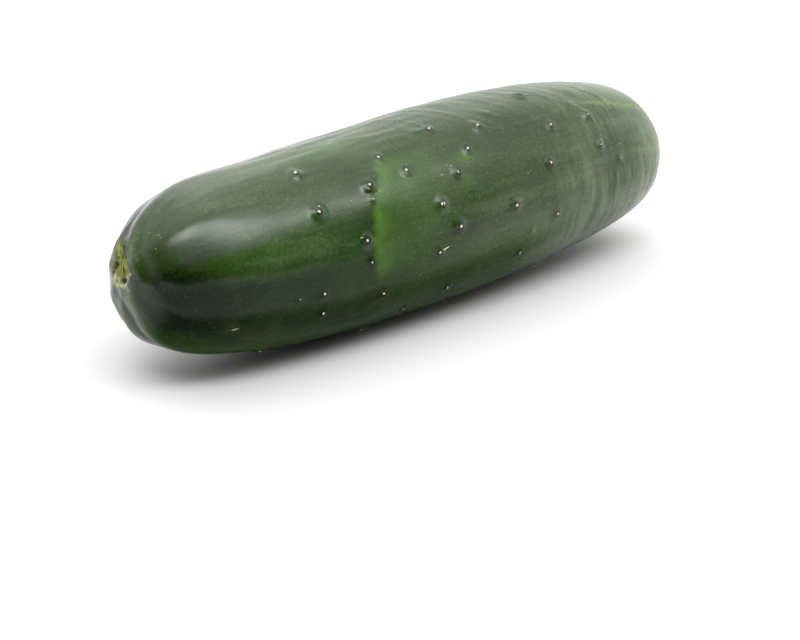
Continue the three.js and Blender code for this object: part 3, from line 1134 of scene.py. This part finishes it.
def waxy_cucumber_skin(colours):
    """Cucumber skin: a thin waxy cuticle over green cells, so a soft broad gloss."""
    material, tree = new_material("waxy_cucumber_skin")
    where = add_node(tree, "ShaderNodeTexCoord").outputs["Object"]
    flow = kept_value(tree, "flow", "Vector")
    share = {name: kept_value(tree, name) for name in SKIN_SHARES}

    # The green: broad clouds, lengthwise streaks and a fine grain of cells
    clouds = noise_at(where, (30, 30, 30))
    streaks = noise_at(flow, (60, 5, 5), 4, 0.6)
    fine_streaks = noise_at(flow, (14, 1.4, 1.4), 3, 0.6)
    bands = noise_at(flow, (2.2, 16, 16), 3, 0.6)
    grain = noise_at(where, (0.9, 0.9, 0.9), 2, 0.6)
    across = times(spread(bands, 0.35, 0.65, -0.3, 0.3), share["wrinkled"])
    # The kept tone holds painted shade low on the camera's side, by the stem and in the furrows,
    # and a painted sheen on the collar
    tone = share["tone"]
    for change in (
        spread(clouds, 0.3, 0.7, -0.12, 0.12),
        spread(streaks, 0.3, 0.7, -0.12, 0.12),
        spread(fine_streaks, 0.3, 0.7, -0.07, 0.07),
        across,
        spread(grain, 0.3, 0.7, -0.1, 0.1),
    ):
        tone = combine("ADD", tone, change)
    green = blend(spread(tone, 0, 0.5), colours.deep, colours.mid)
    green = blend(spread(tone, 0.5, 1), green, colours.pale)

    # Some of it is a browner green
    brown = noise_at(where, (11, 11, 11))
    green = blend(spread(brown, 0.5, 0.7, 0, 0.45, True), green, colours.brown)

    # The yellower patch breaks up at its edge, and the stripes are uneven
    ragged = noise_at(where, (5, 5, 5), 4, 0.6)
    patched = times(share["patch"], spread(ragged, 0.3, 0.6, 0.5, 1))
    green = blend(patched, green, colours.patch)
    striped = times(share["stripe"], spread(fine_streaks, 0.35, 0.6, 0.25, 1))
    green = blend(striped, green, colours.stripe)

    # Pale pores, thick on the blossom half; each is wider round the fruit than along it
    shorter = add_node(tree, "ShaderNodeMapping", {"Vector": where, "Scale": [1.4, 1, 1]})
    cells = cells_at(shorter.outputs["Vector"], PORE_SPACING)
    thick = spread(noise_at(where, (3, 3, 3), 2), 0.36, 0.66, 0.1, 1)
    pores = times(spread(cells, 0.1, 0.34, 1, 0), thick)
    pores = times(pores, spread(share["pored"], 0, 1, 0.12, 0.42))
    green = blend(pores, green, colours.fleck)
    sparse = cells_at(where, SPECK_SPACING)
    thick = spread(noise_at(where, (9, 9, 9), 2), 0.5, 0.62)
    specks = times(spread(sparse, 0.045, 0.085, 0.4, 0), thick)
    green = blend(specks, green, colours.fleck)

    # The dark ring round each stub is uneven
    ring = times(share["halo"], spread(grain, 0.36, 0.6, 0.25, 1))
    green = blend(spread(ring, 0, 0.8, 0, 0.85), green, colours.pit)

    # Torn flesh, whose fibres run up the scar, and its pale lip
    fibre = noise_at(where, (3, 0.45, 2.6), 3, 0.6)
    surface = blend(share["torn"], green, torn_flesh(colours, fibre, share))
    lip = times(share["lip"], spread(fibre, 0.35, 0.55, 0.35, 1))
    surface = blend(lip, surface, colours.torn_edge)
    corky = spread(share["blossom"], 0, 1, 0, 0.8)
    surface = blend(corky, surface, colours.cork)

    # The wax is rubbed thinner in places
    rubbed = noise_at(flow, (18, 6, 6), 4, 0.6)
    roughness = spread(rubbed, 0.3, 0.7, 0.17, 0.24)
    rougher = spread(share["pored"], 0, 1, 0, 0.07)
    roughness = mix(share["torn"], combine("ADD", roughness, rougher), 0.8)

    # Fine relief: cells, and streaks along the fruit that turn across it by the blossom end
    rough = spread(share["pored"], 0, 1, 0.3, 1)
    height = times(combine("ADD", grain, fine_streaks), rough)
    height = combine("ADD", height, times(bands, share["wrinkled"]))
    gloss = spread(share["dull"], 0, 1, 0.5, 0)
    add_shader(
        tree,
        {
            "Base Color": surface,
            "Roughness": roughness,
            "IOR": 1.46,
            "Specular IOR Level": gloss,
            "Normal": bump(height, 0.35, 0.12),
        },
    )
    return material


def dry_spine_stub(colours):
    """A worn spine's stub: dry, corky and cream, so dull."""
    material, tree = new_material("dry_spine_stub")
    where = add_node(tree, "ShaderNodeTexCoord").outputs["Object"]
    settings = {"Vector": where, "Scale": 1 / (0.5 * MM), "Detail": 2}
    grain = add_node(tree, "ShaderNodeTexNoise", settings).outputs["Fac"]
    dry = blend(grain, colours.stub, colours.cork)
    dry = blend(kept_value(tree, "age"), dry, colours.healed)
    relief = bump(grain, 0.4, 0.1)
    add_shader(tree, {"Base Color": dry, "Roughness": 0.55, "IOR": 1.5, "Normal": relief})
    return material


def matte_paper(colours):
    """The floor: plain matte paper."""
    material, tree = new_material("matte_paper")
    add_shader(tree, {"Base Color": colours.floor, "Roughness": 0.9})
    return material


# ------------------------------------------------------------------ studio

CAMERA_ELEVATION = 23.03
CAMERA_AZIMUTH = -41.23
CAMERA_DISTANCE = 526.2
FRUIT_RIGHT_PX = 9.08  # the fruit's middle from the picture's middle, 800 pixels wide
FRUIT_UP_PX = 111.09
PICTURE_WIDTH = 800
SENSOR = 36
FLOOR_SIZE = 24000

# Soft lights round the fruit. Azimuth 0 is over +Y and 90 over +X; each is full within
# its inner angle and fades out by its outer one
ROOM_LIGHT = [
    # azimuth, elevation, inner, outer, radiance
    (40, -5, 70, 135, 0.75),  # the pale room behind the fruit and to its right
    (180, 75, 15, 45, 1.2),  # a wide panel overhead
    (-10, 50, 15, 45, 0.8),  # its far part, behind the fruit
    (25, 30, 25, 55, 0.8),  # a paler wall lower down behind the fruit
    (45, 75, 30, 70, 0.4),  # a faint broad glow overhead
    (-60, 0, 15, 45, 0.8),  # a pale wall behind the stem end
    (152, 52, 8, 26, 1.2),  # a small panel up on the camera's right
    (-122, 63, 4, 14, 2.2),  # a smaller one over the camera
    (110, 5, 20, 40, 0.75),  # a pale wall on the camera's right
]
# The soft box over the camera, on a plane one unit overhead: how far it is turned from the
# camera's azimuth, and where it starts and ends sideways and towards the camera, each with half
# the width of its soft edge
BOX_TURN = 15
BOX_SIDEWAYS = (-0.68, 1, 0.2)
BOX_TOWARDS = (0.3, 0.7, 0.07)
BOX_RADIANCE = 5.4
LEAST_UP = 0.02  # lower directions count as this


def dot(towards, direction):
    inputs = {0: towards, 1: direction}
    node = add_node(towards.id_data, "ShaderNodeVectorMath", inputs, operation="DOT_PRODUCT")
    return node.outputs["Value"]


def soft_light(towards, azimuth, elevation, inner, outer, radiance):
    """Brightness of a soft light of the room in a direction."""
    a, e = np.radians(azimuth), np.radians(elevation)
    facing = dot(towards, (np.sin(a) * np.cos(e), np.cos(a) * np.cos(e), np.sin(e)))
    dark, full = np.cos(np.radians((outer, inner)))
    return spread(facing, dark, full, 0, radiance, True)


def inside(value, low, high, edge):
    """1 between two limits, fading out past both."""
    rise = spread(value, low - edge, low + edge, soft=True)
    return times(rise, spread(value, high + edge, high - edge, soft=True))


def soft_box(towards):
    """Brightness of the soft box over the camera in a direction."""
    a = np.radians(CAMERA_AZIMUTH + BOX_TURN)
    up = combine("MAXIMUM", dot(towards, (0, 0, 1)), LEAST_UP)
    sideways = combine("DIVIDE", dot(towards, (np.cos(a), np.sin(a), 0)), up)
    near = combine("DIVIDE", dot(towards, (np.sin(a), -np.cos(a), 0)), up)
    shown = times(inside(sideways, *BOX_SIDEWAYS), inside(near, *BOX_TOWARDS))
    return times(shown, BOX_RADIANCE)


class CUCUMBER_OT_studio(bpy.types.Operator):
    """Add the pale floor, the soft light and the camera"""

    bl_idname = "cucumber.studio"
    bl_label = "Studio"

    def execute(self, context):
        studio = context.scene.cucumber_studio
        deselect_all()
        bpy.ops.mesh.primitive_plane_add(size=FLOOR_SIZE * MM)
        floor = context.object
        floor.name = "floor"
        floor.data.materials.append(matte_paper(studio))
        self.add_room(context)
        self.add_camera(context, context.scene.cucumber_shape, studio)
        context.scene.view_settings.view_transform = "Standard"
        return {"FINISHED"}

    def add_room(self, context):
        """A pale room with soft lights round and over the fruit, as the world's light."""
        world = bpy.data.worlds.new("pale_room")
        context.scene.world = world
        world.use_nodes = True
        tree = world.node_tree
        tree.nodes.clear()
        towards = add_node(tree, "ShaderNodeTexCoord").outputs["Generated"]
        total, *others = [soft_light(towards, *light) for light in ROOM_LIGHT]
        for light in (*others, soft_box(towards)):
            total = combine("ADD", total, light)
        # Past the floor's edge the camera sees plain white
        seen = add_node(tree, "ShaderNodeLightPath").outputs["Is Camera Ray"]
        light = {"Color": (1, 1, 1, 1), "Strength": mix(seen, total, 1)}
        back = add_node(tree, "ShaderNodeBackground", light).outputs["Background"]
        add_node(tree, "ShaderNodeOutputWorld", {"Surface": back})

    def add_camera(self, context, shape, studio):
        """The camera, set so that the fruit's middle has its place in the picture."""
        a, e = np.radians(CAMERA_AZIMUTH), np.radians(CAMERA_ELEVATION)
        right = Vector((np.cos(a), np.sin(a), 0))
        back = Vector((np.sin(a) * np.cos(e), -np.cos(a) * np.cos(e), np.sin(e)))
        up = back.cross(right)
        pixels = studio.camera_lens / SENSOR * PICTURE_WIDTH
        reach = CAMERA_DISTANCE * MM
        offset = reach * (back - right * FRUIT_RIGHT_PX / pixels - up * FRUIT_UP_PX / pixels)
        bpy.ops.object.camera_add(location=Vector((0, 0, shape.axis_height)) + offset)
        camera = context.object
        aim = Matrix((right, up, back)).transposed().to_4x4()
        camera.matrix_world = Matrix.Translation(camera.location) @ aim
        camera.data.lens = studio.camera_lens
        camera.data.sensor_width = SENSOR
        context.scene.camera = camera


# ------------------------------------------------------------------ add-on

GROUPS = {
    "cucumber_shape": CucumberShape,
    "cucumber_colours": CucumberColours,
    "cucumber_studio": CucumberStudio,
}
OPERATORS = (CUCUMBER_OT_skin, CUCUMBER_OT_stubs, CUCUMBER_OT_studio)


class CUCUMBER_PT_panel(bpy.types.Panel):
    """Lists the cucumber's pieces and settings"""

    bl_label = "Cucumber"
    bl_idname = "CUCUMBER_PT_panel"
    bl_space_type = "VIEW_3D"
    bl_region_type = "UI"
    bl_category = "Cucumber"

    def draw(self, context):
        for operator in OPERATORS:
            self.layout.operator(operator.bl_idname)
        for name, kind in GROUPS.items():
            box = self.layout.box()
            for setting in kind.__annotations__:
                box.prop(getattr(context.scene, name), setting)


CLASSES = (*GROUPS.values(), *OPERATORS, CUCUMBER_PT_panel)


def register():
    for cls in CLASSES:
        bpy.utils.register_class(cls)
    for name, kind in GROUPS.items():
        setattr(bpy.types.Scene, name, bpy.props.PointerProperty(type=kind))


def unregister():
    for name in GROUPS:
        delattr(bpy.types.Scene, name)
    for cls in reversed(CLASSES):
        bpy.utils.unregister_class(cls)


def main():
    register()
    bpy.ops.cucumber.skin()
    bpy.ops.cucumber.stubs()
    bpy.ops.cucumber.studio()


if __name__ == "__main__":
    main()
